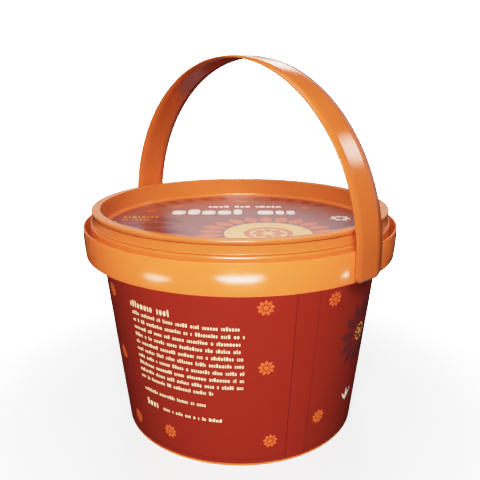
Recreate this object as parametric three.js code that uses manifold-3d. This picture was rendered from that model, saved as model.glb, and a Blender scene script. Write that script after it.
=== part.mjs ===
// A round plastic food tub, shut with a push-down lid, that hangs from a strap handle.
// Millimetres, +Z up. The origin is the middle of the foot, on the surface that the tub stands on.
// The handle's two pivots lie on a line along X, and the handle is modelled standing upright.
import * as THREE from "three";
import { mergeVertices } from "three/addons/utils/BufferGeometryUtils.js";
import Module from "manifold-3d";

// ---- driving dimensions ----

const ROUND_SIDES = 64; // sides of every turned piece
const CLEARANCE = 0.3; // play between pieces that lie on each other
const LABEL_THICKNESS = 0.3;

// Tub: the wall leans outwards from the foot, and a splash collar stands round its top.
const FOOT_RADIUS = 53.6;
const WALL_TOP_RADIUS = 62.6; // where the wall runs into the underside of the collar
const WALL_TOP_HEIGHT = 81.9;
const FOOT_RING_WIDTH = 4.2;
const FOOT_RECESS_DEPTH = 1.5;
const FOOT_EDGE_RADIUS = 0.9;
const CONTENTS_RADIUS = 63.9; // the filled tub inside the lid's skirt
const CONTENTS_HEIGHT = 89.0;

// Collar: a thin ring round the lid, open upwards as a gutter.
const COLLAR_TOP_RADIUS = 69.8;
const COLLAR_TOP_HEIGHT = 93.05;
const COLLAR_FOOT_RADIUS = 69.2;
const COLLAR_FOOT_HEIGHT = 80.35;
const COLLAR_BULGE = 0.3; // how far the collar's face swells beyond a straight cone
const COLLAR_WALL = 1.3;
const COLLAR_LIP = 0.7; // the collar thins towards its top edge
const GUTTER_HEIGHT = 83.5; // floor of the gutter between the collar and the lid

// Wrap label: a printed sleeve flush in a shallow bed in the wall.
const WRAP_FOOT_HEIGHT = 1.6;
const WRAP_TOP_HEIGHT = 81.0;

// Lid: a sunk panel inside a tall rim, with a skirt that clips over the tub.
const LID_SKIRT_HEIGHT = 84.6;
const LID_SKIRT_INNER_RADIUS = 64.4;
const LID_SKIRT_RADIUS = 66.3;
const LID_BEAD_RADIUS = 66.8;
const LID_BEAD_HEIGHT = 93.6;
const LID_STEP_RADIUS = 66.05;
const LID_STEP_HEIGHT = 95.2;
const LID_GROOVE_RADIUS = 65.1;
const LID_GROOVE_HEIGHT = 98.35;
const LID_RIM_RADIUS = 66.0;
const LID_RIM_INNER_RADIUS = 62.1;
const LID_TOP_HEIGHT = 100.15;
const LID_RIM_EDGE = 0.55; // radius of the two round edges on top of the rim
const PANEL_HEIGHT = 91.15;
const PANEL_RADIUS = 60.4;
const PANEL_FILLET = 1.3;
const LID_LABEL_RADIUS = 60.0;

// Handle: a bevelled strap bent into an arch, with a pivot stud inside each end.
const PIVOT_HEIGHT = 87.5;
const STRAP_HALF_SPAN = 71.35; // pivot line to the outside of an arm
const STRAP_WIDTH = 16.1;
const STRAP_FLAT_WIDTH = 9.3; // the thick middle band between the two bevels
const STRAP_ARM_THICKNESS = 1.2;
const STRAP_CROWN_THICKNESS = 1.6;
const STRAP_BEVEL = 0.32; // how much thinner each face gets along the strap's edges
const STRAP_CROWN_HEIGHT = 164.2;
const STRAP_END_HEIGHT = 80.4;
const STRAP_END_RADIUS = 3.6;
const ARCH_SPRING_HEIGHT = 90.0; // the arms are straight up to here
const ARCH_EXPONENT = 1.95; // 2 would be a plain ellipse
const ARCH_STEPS = 44;
const STUD_NECK_RADIUS = 2.4;
const STUD_HEAD_RADIUS = 3.0;
const STUD_HEAD_INNER = 67.15; // the head's inner face, out from the tub's middle
const STUD_HEAD_LENGTH = 0.75;
const STUD_ROOT = 0.5; // how deep the neck is rooted in the arm
const STUD_SIDES = 24;
const PIVOT_HOLE_RADIUS = 2.75;
const DRILL_LENGTH = 6; // passes the collar's wall and stays clear of the lid's seat

// Finishes
const ORANGE_PLASTIC = { color: 0xe8924a, roughness: 0.32, metalness: 0 };
const RED_FILM = { color: 0xa92e24, roughness: 0.38, metalness: 0 };

// ---- solids ----

const wasm = await Module();
wasm.setup();

/** A closed solid made from a geometry, ready to be joined or cut. */
function solidOf(geometry) {
  const bare = geometry.clone();
  bare.deleteAttribute("normal");
  bare.deleteAttribute("uv");
  const merged = mergeVertices(bare);
  const corners = merged.index.array;
  const triangles = [];
  for (let i = 0; i < corners.length; i += 3) {
    const [a, b, c] = corners.slice(i, i + 3);
    if (a !== b && b !== c && c !== a) triangles.push(a, b, c);
  }
  return new wasm.Manifold(
    new wasm.Mesh({
      numProp: 3,
      vertProperties: new Float32Array(merged.attributes.position.array),
      triVerts: new Uint32Array(triangles),
    }),
  );
}

/** The geometry of a solid that was joined or cut. */
function geometryOf(solid) {
  const mesh = solid.getMesh();
  const geometry = new THREE.BufferGeometry();
  geometry.setAttribute("position", new THREE.BufferAttribute(mesh.vertProperties, 3));
  geometry.setIndex(new THREE.BufferAttribute(mesh.triVerts, 1));
  geometry.computeVertexNormals();
  return geometry;
}

/** A body turned about Z from [radius, height] points that run up its outside. */
function turned(profile, sides = ROUND_SIDES) {
  const points = profile.map(([radius, height]) => new THREE.Vector2(radius, height));
  return new THREE.LatheGeometry(points, sides).rotateX(Math.PI / 2);
}

/** Points on an arc in a turned profile, from one angle to another, in degrees. */
function arc(centreRadius, centreHeight, radius, fromDegrees, toDegrees, steps) {
  const points = [];
  for (let i = 0; i <= steps; i += 1) {
    const angle = THREE.MathUtils.degToRad(fromDegrees + ((toDegrees - fromDegrees) * i) / steps);
    points.push([centreRadius + radius * Math.cos(angle), centreHeight + radius * Math.sin(angle)]);
  }
  return points;
}

function named(name, geometry, finish) {
  const mesh = new THREE.Mesh(geometry, new THREE.MeshStandardMaterial(finish));
  mesh.name = name;
  return mesh;
}

// ---- tub ----

/** The leaning wall's outer radius at a height above the foot. */
function wallRadius(height) {
  return FOOT_RADIUS + ((WALL_TOP_RADIUS - FOOT_RADIUS) * height) / WALL_TOP_HEIGHT;
}

/** The collar's outer face: a cone that swells a little halfway up. */
function collarFace(steps) {
  const points = [];
  for (let i = 0; i <= steps; i += 1) {
    const rise = i / steps;
    const cone = COLLAR_FOOT_RADIUS + (COLLAR_TOP_RADIUS - COLLAR_FOOT_RADIUS) * rise;
    const swell = COLLAR_BULGE * 4 * rise * (1 - rise);
    points.push([cone + swell, COLLAR_FOOT_HEIGHT + (COLLAR_TOP_HEIGHT - COLLAR_FOOT_HEIGHT) * rise]);
  }
  return points;
}

function tubProfile() {
  const footInner = FOOT_RADIUS - FOOT_RING_WIDTH;
  const labelBed = LABEL_THICKNESS + CLEARANCE;
  const bedFoot = WRAP_FOOT_HEIGHT - CLEARANCE;
  const collarInner = COLLAR_FOOT_RADIUS - COLLAR_WALL;
  const lip = 0.4;
  return [
    [0, FOOT_RECESS_DEPTH],
    [footInner - FOOT_RECESS_DEPTH / 2, FOOT_RECESS_DEPTH],
    [footInner, 0],
    ...arc(FOOT_RADIUS - FOOT_EDGE_RADIUS, FOOT_EDGE_RADIUS, FOOT_EDGE_RADIUS, -90, 0, 3),
    [wallRadius(bedFoot), bedFoot],
    [wallRadius(bedFoot) - labelBed, bedFoot],
    [wallRadius(WALL_TOP_HEIGHT) - labelBed, WALL_TOP_HEIGHT],
    [collarInner, WALL_TOP_HEIGHT],
    [collarInner, COLLAR_FOOT_HEIGHT + lip],
    [collarInner + lip, COLLAR_FOOT_HEIGHT],
    [COLLAR_FOOT_RADIUS - lip, COLLAR_FOOT_HEIGHT],
    ...collarFace(6).map(([radius, height], i) => (i === 0 ? [radius, height + lip] : [radius, height])),
    [COLLAR_TOP_RADIUS - COLLAR_LIP, COLLAR_TOP_HEIGHT],
    [collarInner, GUTTER_HEIGHT],
    [CONTENTS_RADIUS, GUTTER_HEIGHT],
    [CONTENTS_RADIUS, CONTENTS_HEIGHT],
    [0, CONTENTS_HEIGHT],
  ];
}

/** A bar along X through the collar's right side, on the pivot line. */
function pivotDrill() {
  const bar = new THREE.CylinderGeometry(PIVOT_HOLE_RADIUS, PIVOT_HOLE_RADIUS, DRILL_LENGTH, STUD_SIDES);
  return bar.rotateZ(-Math.PI / 2).translate(COLLAR_TOP_RADIUS, 0, PIVOT_HEIGHT);
}

function tub() {
  let body = solidOf(turned(tubProfile()));
  body = body.subtract(solidOf(pivotDrill()));
  body = body.subtract(solidOf(pivotDrill().rotateZ(Math.PI)));
  return named("tub", geometryOf(body), ORANGE_PLASTIC);
}

/** The wrap label's sleeve, flush with the wall and just clear of the bed under it. */
function wrapLabel() {
  const outerFoot = wallRadius(WRAP_FOOT_HEIGHT);
  const outerTop = wallRadius(WRAP_TOP_HEIGHT);
  const profile = [
    [outerFoot, WRAP_FOOT_HEIGHT],
    [outerTop, WRAP_TOP_HEIGHT],
    [outerTop - LABEL_THICKNESS, WRAP_TOP_HEIGHT],
    [outerFoot - LABEL_THICKNESS, WRAP_FOOT_HEIGHT],
    [outerFoot, WRAP_FOOT_HEIGHT],
  ];
  return named("wrap_label", turned(profile), RED_FILM);
}

// ---- lid ----

/** The outside of the lid, from the skirt's edge up to the rim. */
function lidOutside() {
  const edge = 0.4;
  return [
    [LID_SKIRT_INNER_RADIUS + edge, LID_SKIRT_HEIGHT],
    [LID_SKIRT_RADIUS - edge, LID_SKIRT_HEIGHT],
    [LID_SKIRT_RADIUS, LID_SKIRT_HEIGHT + edge],
    [LID_SKIRT_RADIUS, LID_BEAD_HEIGHT - 2],
    [LID_BEAD_RADIUS, LID_BEAD_HEIGHT - 0.8],
    [LID_BEAD_RADIUS, LID_BEAD_HEIGHT + 0.4],
    [LID_STEP_RADIUS, LID_STEP_HEIGHT],
    [LID_GROOVE_RADIUS + 0.25, LID_GROOVE_HEIGHT - 0.6],
    [LID_GROOVE_RADIUS, LID_GROOVE_HEIGHT],
    [LID_RIM_RADIUS, LID_GROOVE_HEIGHT + 0.75],
  ];
}

function lidProfile() {
  const underside = CONTENTS_HEIGHT + CLEARANCE;
  const labelBedHeight = PANEL_HEIGHT - LABEL_THICKNESS - CLEARANCE;
  const rimEdgeHeight = LID_TOP_HEIGHT - LID_RIM_EDGE;
  return [
    [0, underside],
    [LID_SKIRT_INNER_RADIUS, underside],
    [LID_SKIRT_INNER_RADIUS, LID_SKIRT_HEIGHT + 0.4],
    ...lidOutside(),
    ...arc(LID_RIM_RADIUS - LID_RIM_EDGE, rimEdgeHeight, LID_RIM_EDGE, 0, 90, 3),
    ...arc(LID_RIM_INNER_RADIUS + LID_RIM_EDGE, rimEdgeHeight, LID_RIM_EDGE, 90, 180, 3),
    ...arc(PANEL_RADIUS, PANEL_HEIGHT + PANEL_FILLET, PANEL_FILLET, 0, -90, 3),
    [LID_LABEL_RADIUS + CLEARANCE, PANEL_HEIGHT],
    [LID_LABEL_RADIUS + CLEARANCE, labelBedHeight],
    [0, labelBedHeight],
  ];
}

function lid() {
  return named("lid", turned(lidProfile()), ORANGE_PLASTIC);
}

/** The round label that lies flush in the lid's panel. */
function lidLabel() {
  const profile = [
    [0, PANEL_HEIGHT - LABEL_THICKNESS],
    [LID_LABEL_RADIUS, PANEL_HEIGHT - LABEL_THICKNESS],
    [LID_LABEL_RADIUS, PANEL_HEIGHT],
    [0, PANEL_HEIGHT],
  ];
  return named("lid_label", turned(profile), RED_FILM);
}

// ---- handle, in its own frame with the pivot line at height 0 ----

/** Half of the arch at an angle from its left springing: a superellipse on straight arms. */
function archPoint(halfSpan, rise, angle) {
  const power = 2 / ARCH_EXPONENT;
  const across = Math.sign(Math.cos(angle)) * Math.abs(Math.cos(angle)) ** power;
  return new THREE.Vector2(-halfSpan * across, springHeight() + rise * Math.sin(angle) ** power);
}

function springHeight() {
  return ARCH_SPRING_HEIGHT - PIVOT_HEIGHT;
}

/** One face of the strap, from the left arm's end over the crown to the right arm's end. */
function archLine(halfSpan, crownHeight) {
  const rise = crownHeight - ARCH_SPRING_HEIGHT;
  const endHeight = STRAP_END_HEIGHT - PIVOT_HEIGHT;
  const points = [new THREE.Vector2(-halfSpan, endHeight)];
  for (let i = 0; i <= ARCH_STEPS; i += 1) {
    points.push(archPoint(halfSpan, rise, (Math.PI * i) / ARCH_STEPS));
  }
  points.push(new THREE.Vector2(halfSpan, endHeight));
  return points;
}

/** The strap with bevelled edges, extruded along Y from its arch. */
function strap() {
  const outer = archLine(STRAP_HALF_SPAN, STRAP_CROWN_HEIGHT);
  const inner = archLine(STRAP_HALF_SPAN - STRAP_ARM_THICKNESS, STRAP_CROWN_HEIGHT - STRAP_CROWN_THICKNESS);
  const geometry = new THREE.ExtrudeGeometry(new THREE.Shape([...outer, ...inner.reverse()]), {
    depth: STRAP_FLAT_WIDTH,
    bevelEnabled: true,
    bevelSegments: 1,
    bevelThickness: (STRAP_WIDTH - STRAP_FLAT_WIDTH) / 2,
    bevelSize: STRAP_BEVEL,
    bevelOffset: -STRAP_BEVEL,
  });
  const upright = new THREE.Matrix4().makeBasis(
    new THREE.Vector3(1, 0, 0),
    new THREE.Vector3(0, 0, 1),
    new THREE.Vector3(0, -1, 0),
  );
  return geometry.translate(0, 0, -STRAP_FLAT_WIDTH / 2).applyMatrix4(upright);
}

/** The strap's outline seen along X, with round corners at its two ends. */
function strapEndTrim() {
  const half = STRAP_WIDTH / 2;
  const foot = STRAP_END_HEIGHT - PIVOT_HEIGHT;
  const top = STRAP_CROWN_HEIGHT;
  const shape = new THREE.Shape();
  shape.moveTo(-half, top);
  shape.lineTo(-half, foot + STRAP_END_RADIUS);
  shape.absarc(-half + STRAP_END_RADIUS, foot + STRAP_END_RADIUS, STRAP_END_RADIUS, Math.PI, 1.5 * Math.PI);
  shape.absarc(half - STRAP_END_RADIUS, foot + STRAP_END_RADIUS, STRAP_END_RADIUS, 1.5 * Math.PI, 2 * Math.PI);
  shape.lineTo(half, top);
  const length = 2 * STRAP_HALF_SPAN + 10;
  const geometry = new THREE.ExtrudeGeometry(shape, { depth: length, bevelEnabled: false, curveSegments: 5 });
  const alongX = new THREE.Matrix4().makeBasis(
    new THREE.Vector3(0, 1, 0),
    new THREE.Vector3(0, 0, 1),
    new THREE.Vector3(1, 0, 0),
  );
  return geometry.translate(0, 0, -length / 2).applyMatrix4(alongX);
}

/** A pivot stud on the right arm's inside: a neck through the collar and a wider head behind it. */
function pivotStud() {
  const length = STRAP_HALF_SPAN - STRAP_ARM_THICKNESS + STUD_ROOT - STUD_HEAD_INNER;
  const stud = turned(
    [
      [0, 0],
      [STUD_HEAD_RADIUS - 0.4, 0],
      [STUD_HEAD_RADIUS, 0.3],
      [STUD_HEAD_RADIUS, STUD_HEAD_LENGTH],
      [STUD_NECK_RADIUS, STUD_HEAD_LENGTH],
      [STUD_NECK_RADIUS, length],
      [0, length],
    ],
    STUD_SIDES,
  );
  return stud.rotateY(Math.PI / 2).translate(STUD_HEAD_INNER, 0, 0);
}

function handle() {
  let body = solidOf(strap()).intersect(solidOf(strapEndTrim()));
  body = body.add(solidOf(pivotStud()));
  body = body.add(solidOf(pivotStud().rotateZ(Math.PI)));
  const mesh = named("handle", geometryOf(body), ORANGE_PLASTIC);
  mesh.position.z = PIVOT_HEIGHT;
  return mesh;
}

const model = new THREE.Group();
model.add(tub(), wrapLabel(), lid(), lidLabel(), handle());

export default model;
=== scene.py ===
"""Looks of a shut plastic food tub: moulded orange tub, lid and strap handle, and two printed labels.

Every piece is modelled in millimetres about the tub's axis, with the foot at height 0 and the handle's
pivots along X, and is turned into metres when its mesh is made.
"""

from __future__ import annotations

import bisect
import logging
import math
import random
from dataclasses import dataclass, field, replace
from enum import Enum
from typing import Any, Callable, Iterable, Sequence

import bmesh
import bpy
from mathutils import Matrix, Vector

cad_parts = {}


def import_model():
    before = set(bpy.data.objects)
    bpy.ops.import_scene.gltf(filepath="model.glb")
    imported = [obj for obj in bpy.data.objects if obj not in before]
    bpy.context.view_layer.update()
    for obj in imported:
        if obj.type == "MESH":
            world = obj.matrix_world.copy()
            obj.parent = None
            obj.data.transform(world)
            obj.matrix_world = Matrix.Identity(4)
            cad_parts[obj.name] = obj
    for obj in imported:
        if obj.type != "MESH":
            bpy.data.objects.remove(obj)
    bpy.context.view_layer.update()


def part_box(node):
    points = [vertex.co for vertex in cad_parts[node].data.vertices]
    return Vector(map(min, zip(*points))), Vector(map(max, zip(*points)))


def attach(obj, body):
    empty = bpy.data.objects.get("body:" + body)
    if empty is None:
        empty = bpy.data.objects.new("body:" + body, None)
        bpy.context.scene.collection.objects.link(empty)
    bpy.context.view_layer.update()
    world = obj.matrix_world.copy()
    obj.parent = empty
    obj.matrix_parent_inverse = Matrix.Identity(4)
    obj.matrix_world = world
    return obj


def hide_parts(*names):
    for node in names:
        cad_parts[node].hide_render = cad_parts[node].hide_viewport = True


log = logging.getLogger("tub")

Point2 = tuple[float, float]
Point3 = tuple[float, float, float]

MM = 0.001
FINE_SIDES = 288  # sides of the turned pieces
ON_AXIS = 1e-6  # a smaller radius is a point on the axis
SHARP_ANGLE = math.radians(38)
ARC_STEP = math.radians(13)  # the most that one face of a rounded corner turns

# The shared outline of the wall, which the tub and its wrap label both follow.
FOOT_RADIUS = 53.6
WALL_TOP_RADIUS = 62.6
WALL_TOP_HEIGHT = 81.9
WRAP_FOOT_HEIGHT = 1.3
CONTENTS_TOP = 89.0  # where the tub's solid middle ends, under the lid
LABEL_BED = 0.28  # depth of the beds that the two labels lie in
PIVOT_HEIGHT = 87.5


def wall_radius(height: float) -> float:
    """Gives the wall's outer radius at a height above the foot."""
    return FOOT_RADIUS + (WALL_TOP_RADIUS - FOOT_RADIUS) * height / WALL_TOP_HEIGHT


def box_mm(node: str) -> tuple[Vector, Vector]:
    """Gives the lowest and highest corners of a CAD node in millimetres."""
    low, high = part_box(node)
    return low / MM, high / MM


def full_turn(steps: int) -> list[float]:
    """Gives the angles of equal steps round a full turn."""
    return [math.tau * i / steps for i in range(steps)]


def on_circle(middle: Point2, radius: float, angle: float) -> Point2:
    """Gives the point on a circle at an angle in radians."""
    return middle[0] + radius * math.cos(angle), middle[1] + radius * math.sin(angle)


def rotated(x: float, y: float, angle: float, foot: Point2 = (0.0, 0.0)) -> Point2:
    """Turns an offset by an angle in radians and sets it off from its foot."""
    cosine, sine = math.cos(angle), math.sin(angle)
    return foot[0] + x * cosine - y * sine, foot[1] + x * sine + y * cosine


# ---- colour and nodes ----

# Sockets that a colour mix node tells apart by number only.
MIX_FIRST = 6
MIX_SECOND = 7
MIX_RESULT = 2


class Swatch(Enum):
    """The pack's colours, as sRGB hex values."""

    TUB_ORANGE = "E07034"
    TUB_ORANGE_DEEP = "DB692E"
    LID_ORANGE = "DE7234"
    LID_ORANGE_DEEP = "D96D2E"
    STRAP_ORANGE = "D3692F"
    STRAP_ORANGE_DEEP = "CE642B"
    # The label's brick and its darker mottle have their green and blue raised a little: a painted sheen that
    # stands in for the gloss the key light doesn't leave on the film.
    BRICK = "7B2016"
    BRICK_DARK = "721D13"
    SEAM = "5E1614"
    MAROON = "571C1E"
    LID_RED = "864240"
    LID_MAROON = "5A2626"
    CREAM = "F5D0A6"
    MOTIF = "E0632C"
    GOLD = "C79A46"
    TAN = "E8A85E"
    WHITE = "F4F0EA"
    FLOOR = "F2F1EF"


def linear(hex_code: str) -> tuple[float, float, float, float]:
    """Turns an sRGB hex value into a linear colour.

    Args:
        hex_code: Six hex digits, red first.

    Returns:
        Linear red, green and blue, and an alpha of one.
    """
    channels = [int(hex_code[i : i + 2], 16) / 255 for i in (0, 2, 4)]
    red, green, blue = (c / 12.92 if c <= 0.04045 else ((c + 0.055) / 1.055) ** 2.4 for c in channels)
    return red, green, blue, 1.0


def add_node(
    tree: bpy.types.NodeTree,
    kind: str,
    settings: dict[str, Any] | None = None,
    inputs: dict[str | int, Any] | None = None,
) -> bpy.types.Node:
    """Adds one node with its settings and its inputs.

    Args:
        tree: The node tree that gets the node.
        kind: The node's type name.
        settings: Values for the node's own properties.
        inputs: For each input, a value, or another node's output to link.

    Returns:
        The new node.
    """
    node = tree.nodes.new(kind)
    for name, value in (settings or {}).items():
        setattr(node, name, value)
    for name, value in (inputs or {}).items():
        if isinstance(value, bpy.types.NodeSocket):
            tree.links.new(value, node.inputs[name])
        else:
            node.inputs[name].default_value = value
    return node


def new_material(name: str) -> tuple[bpy.types.Material, bpy.types.NodeTree, bpy.types.NodeSocket]:
    """Starts a material.

    Args:
        name: The material's name.

    Returns:
        The material, its node tree, and the place on the object that its patterns go by.
    """
    material = bpy.data.materials.new(name)
    material.use_nodes = True
    tree = material.node_tree
    tree.nodes.clear()
    return material, tree, add_node(tree, "ShaderNodeTexCoord").outputs["Object"]


def end_material(tree: bpy.types.NodeTree, inputs: dict[str, Any]) -> None:
    """Ends a material with its surface shader.

    Args:
        tree: The material's node tree.
        inputs: The shader's inputs.
    """
    shader = add_node(tree, "ShaderNodeBsdfPrincipled", inputs=inputs)
    add_node(tree, "ShaderNodeOutputMaterial", inputs={"Surface": shader.outputs["BSDF"]})


# ---- finishes ----


@dataclass(frozen=True)
class MouldedPolypropylene:
    """Injection-moulded polypropylene: a soft waxy gloss, even colour, and a faint ripple from the mould.

    Polypropylene's refractive index is 1.49. Light enters it a little, so its shadows are warm.
    """

    name: str
    colour: Swatch
    shade: Swatch
    roughness: float = 0.142
    roughness_drift: tuple[float, float] = (-0.03, 0.04)  # in the ripple's hollows and on its crests
    ior: float = 1.49
    cloud_mm: float = 38.0  # drift of the pigment along the melt's flow
    ripple_mm: float = 3.2  # spacing of the mould's ripple
    ripple_depth_mm: float = 0.02
    grain_mm: float = 0.35  # spark-eroded grain; the real one is finer and would not show
    grain_depth_mm: float = 0.004
    relief: float = 0.05
    translucence: float = 0.12
    glow_depth_mm: float = 0.9  # how far light strays under the surface
    glow_colour: Point3 = (1.0, 0.45, 0.18)  # red strays furthest

    def material(self) -> bpy.types.Material:
        """Builds the material.

        Returns:
            The material.
        """
        material, tree, place = new_material(self.name)
        cloud, ripple, grain = (
            add_node(
                tree,
                "ShaderNodeTexNoise",
                inputs={"Vector": place, "Scale": 1 / (size * MM), "Detail": detail},
            ).outputs["Fac"]
            for size, detail in ((self.cloud_mm, 2.0), (self.ripple_mm, 1.0), (self.grain_mm, 2.0))
        )
        pigment = add_node(
            tree,
            "ShaderNodeMix",
            {"data_type": "RGBA"},
            {"Factor": cloud, MIX_FIRST: linear(self.colour.value), MIX_SECOND: linear(self.shade.value)},
        )
        low, high = (self.roughness + drift for drift in self.roughness_drift)
        gloss = add_node(tree, "ShaderNodeMapRange", inputs={"Value": ripple, "To Min": low, "To Max": high})
        waves = add_node(
            tree,
            "ShaderNodeBump",
            inputs={"Strength": self.relief, "Distance": self.ripple_depth_mm * MM, "Height": ripple},
        )
        skin = add_node(
            tree,
            "ShaderNodeBump",
            inputs={
                "Strength": self.relief,
                "Distance": self.grain_depth_mm * MM,
                "Height": grain,
                "Normal": waves.outputs["Normal"],
            },
        )
        surface = {
            "Base Color": pigment.outputs[MIX_RESULT],
            "Roughness": gloss.outputs["Result"],
            "Normal": skin.outputs["Normal"],
            "IOR": self.ior,
            "Subsurface Weight": self.translucence,
            "Subsurface Radius": self.glow_colour,
            "Subsurface Scale": self.glow_depth_mm * MM,
        }
        end_material(tree, surface)
        return material


@dataclass(frozen=True)
class PrintedFilm:
    """Gravure-printed polypropylene label film: matt ink on a film that lies a little wavy.

    A clear varnish, where there is one, gives it a second and smoother gloss.
    """

    name: str
    colour: Swatch
    shade: Swatch
    roughness: float = 0.55
    roughness_drift: float = 0.05
    ior: float = 1.5
    sheen: float = 0.35  # how much of a bare film's reflection the ink leaves
    coat: float = 0.0
    coat_roughness: float = 0.12
    cloud_mm: float = 26.0  # drift of the ink's strength over the roll
    wave_mm: float = 9.0  # how far apart the film's slight waves are
    wave_depth_mm: float = 0.05
    relief: float = 0.06
    screen_mm: float = 0.5  # the print screen's dots; real ones are a quarter of this and would not show

    def material(self) -> bpy.types.Material:
        """Builds the material.

        Returns:
            The material.
        """
        material, tree, place = new_material(self.name)
        cloud, wave = (
            add_node(
                tree,
                "ShaderNodeTexNoise",
                inputs={"Vector": place, "Scale": 1 / (size * MM), "Detail": detail},
            ).outputs["Fac"]
            for size, detail in ((self.cloud_mm, 3.0), (self.wave_mm, 2.0))
        )
        screen = add_node(
            tree,
            "ShaderNodeTexVoronoi",
            {"feature": "F1"},
            {"Vector": place, "Scale": 1 / (self.screen_mm * MM)},
        )
        mottle = add_node(
            tree, "ShaderNodeMath", {"operation": "MULTIPLY"}, {0: cloud, 1: screen.outputs["Distance"]}
        )
        ink = add_node(
            tree,
            "ShaderNodeMix",
            {"data_type": "RGBA"},
            {
                "Factor": mottle.outputs[0],
                MIX_FIRST: linear(self.colour.value),
                MIX_SECOND: linear(self.shade.value),
            },
        )
        lie = add_node(
            tree,
            "ShaderNodeBump",
            inputs={"Strength": self.relief, "Distance": self.wave_depth_mm * MM, "Height": wave},
        )
        low, high = self.roughness - self.roughness_drift, self.roughness + self.roughness_drift
        gloss = add_node(tree, "ShaderNodeMapRange", inputs={"Value": cloud, "To Min": low, "To Max": high})
        surface = {
            "Base Color": ink.outputs[MIX_RESULT],
            "Roughness": gloss.outputs["Result"],
            "Normal": lie.outputs["Normal"],
            "IOR": self.ior,
            "Specular IOR Level": self.sheen,
            "Coat Weight": self.coat,
            "Coat Roughness": self.coat_roughness,
        }
        end_material(tree, surface)
        return material


@dataclass(frozen=True)
class StudioFloor:
    """A matt white painted board that fades into the white surroundings away from the tub."""

    name: str = "painted_board"
    colour: Swatch = Swatch.FLOOR
    roughness: float = 0.9
    solid_radius: float = 0.07  # metres, as the next one
    faded_radius: float = 0.24
    roller_mm: float = 4.0  # the paint roller's dimples
    dimple_depth_mm: float = 0.05
    relief: float = 0.05
    glow: float = 0.6  # a light table under the tub

    def material(self) -> bpy.types.Material:
        """Builds the material.

        Returns:
            The material.
        """
        material, tree, place = new_material(self.name)
        reach = add_node(tree, "ShaderNodeVectorMath", {"operation": "LENGTH"}, {0: place})
        fade = add_node(
            tree,
            "ShaderNodeMapRange",
            {"interpolation_type": "SMOOTHERSTEP"},
            {
                "Value": reach.outputs["Value"],
                "From Min": self.solid_radius,
                "From Max": self.faded_radius,
                "To Min": 1.0,
                "To Max": 0.0,
            },
        )
        dimples = add_node(
            tree, "ShaderNodeTexNoise", inputs={"Vector": place, "Scale": 1 / (self.roller_mm * MM)}
        )
        bump = add_node(
            tree,
            "ShaderNodeBump",
            inputs={
                "Strength": self.relief,
                "Distance": self.dimple_depth_mm * MM,
                "Height": dimples.outputs["Fac"],
            },
        )
        surface = {
            "Base Color": linear(self.colour.value),
            "Roughness": self.roughness,
            "Normal": bump.outputs["Normal"],
            "Alpha": fade.outputs["Result"],
            "Emission Color": (1.0, 1.0, 1.0, 1.0),
            "Emission Strength": self.glow,
        }
        end_material(tree, surface)
        return material


# ---- making meshes ----


@dataclass
class MeshBuilder:
    """Collects the vertices and faces of one piece, in millimetres."""

    vertices: list[Point3] = field(default_factory=list)
    faces: list[tuple[int, ...]] = field(default_factory=list)

    def add(self, x: float, y: float, z: float) -> int:
        """Adds a vertex and gives its number."""
        self.vertices.append((x, y, z))
        return len(self.vertices) - 1

    def bridge(self, first: Sequence[int], second: Sequence[int], closed: bool = False) -> None:
        """Joins two rows of vertices with four-sided faces.

        Args:
            first: One row's vertex numbers.
            second: The other row's, as many.
            closed: Whether the rows close on themselves.
        """
        count = len(first)
        for i in range(count if closed else count - 1):
            j = (i + 1) % count
            self.faces.append((first[i], first[j], second[j], second[i]))

    def piece(
        self, name: str, material: bpy.types.Material, sharp_angle: float = SHARP_ANGLE
    ) -> bpy.types.Object:
        """Makes the object, in metres, smooth except at sharp edges.

        Args:
            name: The piece's name.
            material: Its finish.
            sharp_angle: Edges that turn more than this stay sharp.

        Returns:
            The new object.
        """
        mesh = bpy.data.meshes.new(name)
        mesh.from_pydata([(x * MM, y * MM, z * MM) for x, y, z in self.vertices], [], self.faces)
        shell = bmesh.new()
        shell.from_mesh(mesh)
        bmesh.ops.recalc_face_normals(shell, faces=shell.faces[:])
        shell.to_mesh(mesh)
        shell.free()
        mesh.shade_smooth()
        mesh.set_sharp_from_angle(angle=sharp_angle)
        mesh.materials.append(material)
        made = bpy.data.objects.new(name, mesh)
        bpy.context.scene.collection.objects.link(made)
        return made


@dataclass(frozen=True)
class Corner:
    """A corner of a turned outline, with the radius that rounds it."""

    radius: float
    height: float
    rounding: float = 0.0


def rounded_outline(corners: Sequence[Corner], closed: bool = False) -> list[Point2]:
    """Rounds the corners of a turned outline.

    Args:
        corners: The outline's corners in order.
        closed: Whether the last corner joins the first.

    Returns:
        Radius and height of each point.
    """
    points: list[Point2] = []
    count = len(corners)
    for i, corner in enumerate(corners):
        here = Vector((corner.radius, corner.height))
        if corner.rounding == 0 or (not closed and i in (0, count - 1)):
            points.append((here.x, here.y))
            continue
        before, after = corners[i - 1], corners[(i + 1) % count]
        back = Vector((before.radius, before.height)) - here
        ahead = Vector((after.radius, after.height)) - here
        half = back.angle(ahead) / 2
        reach = min(corner.rounding / math.tan(half), 0.49 * back.length, 0.49 * ahead.length)
        radius = reach * math.tan(half)
        middle = here + (back.normalized() + ahead.normalized()).normalized() * (radius / math.sin(half))
        start = here + back.normalized() * reach - middle
        finish = here + ahead.normalized() * reach - middle
        sweep = start.angle_signed(finish)
        steps = max(2, math.ceil(abs(sweep) / ARC_STEP))
        for step in range(steps + 1):
            spoke = Vector(rotated(start.x, start.y, -sweep * step / steps))
            points.append((middle.x + spoke.x, middle.y + spoke.y))
    return points


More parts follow.
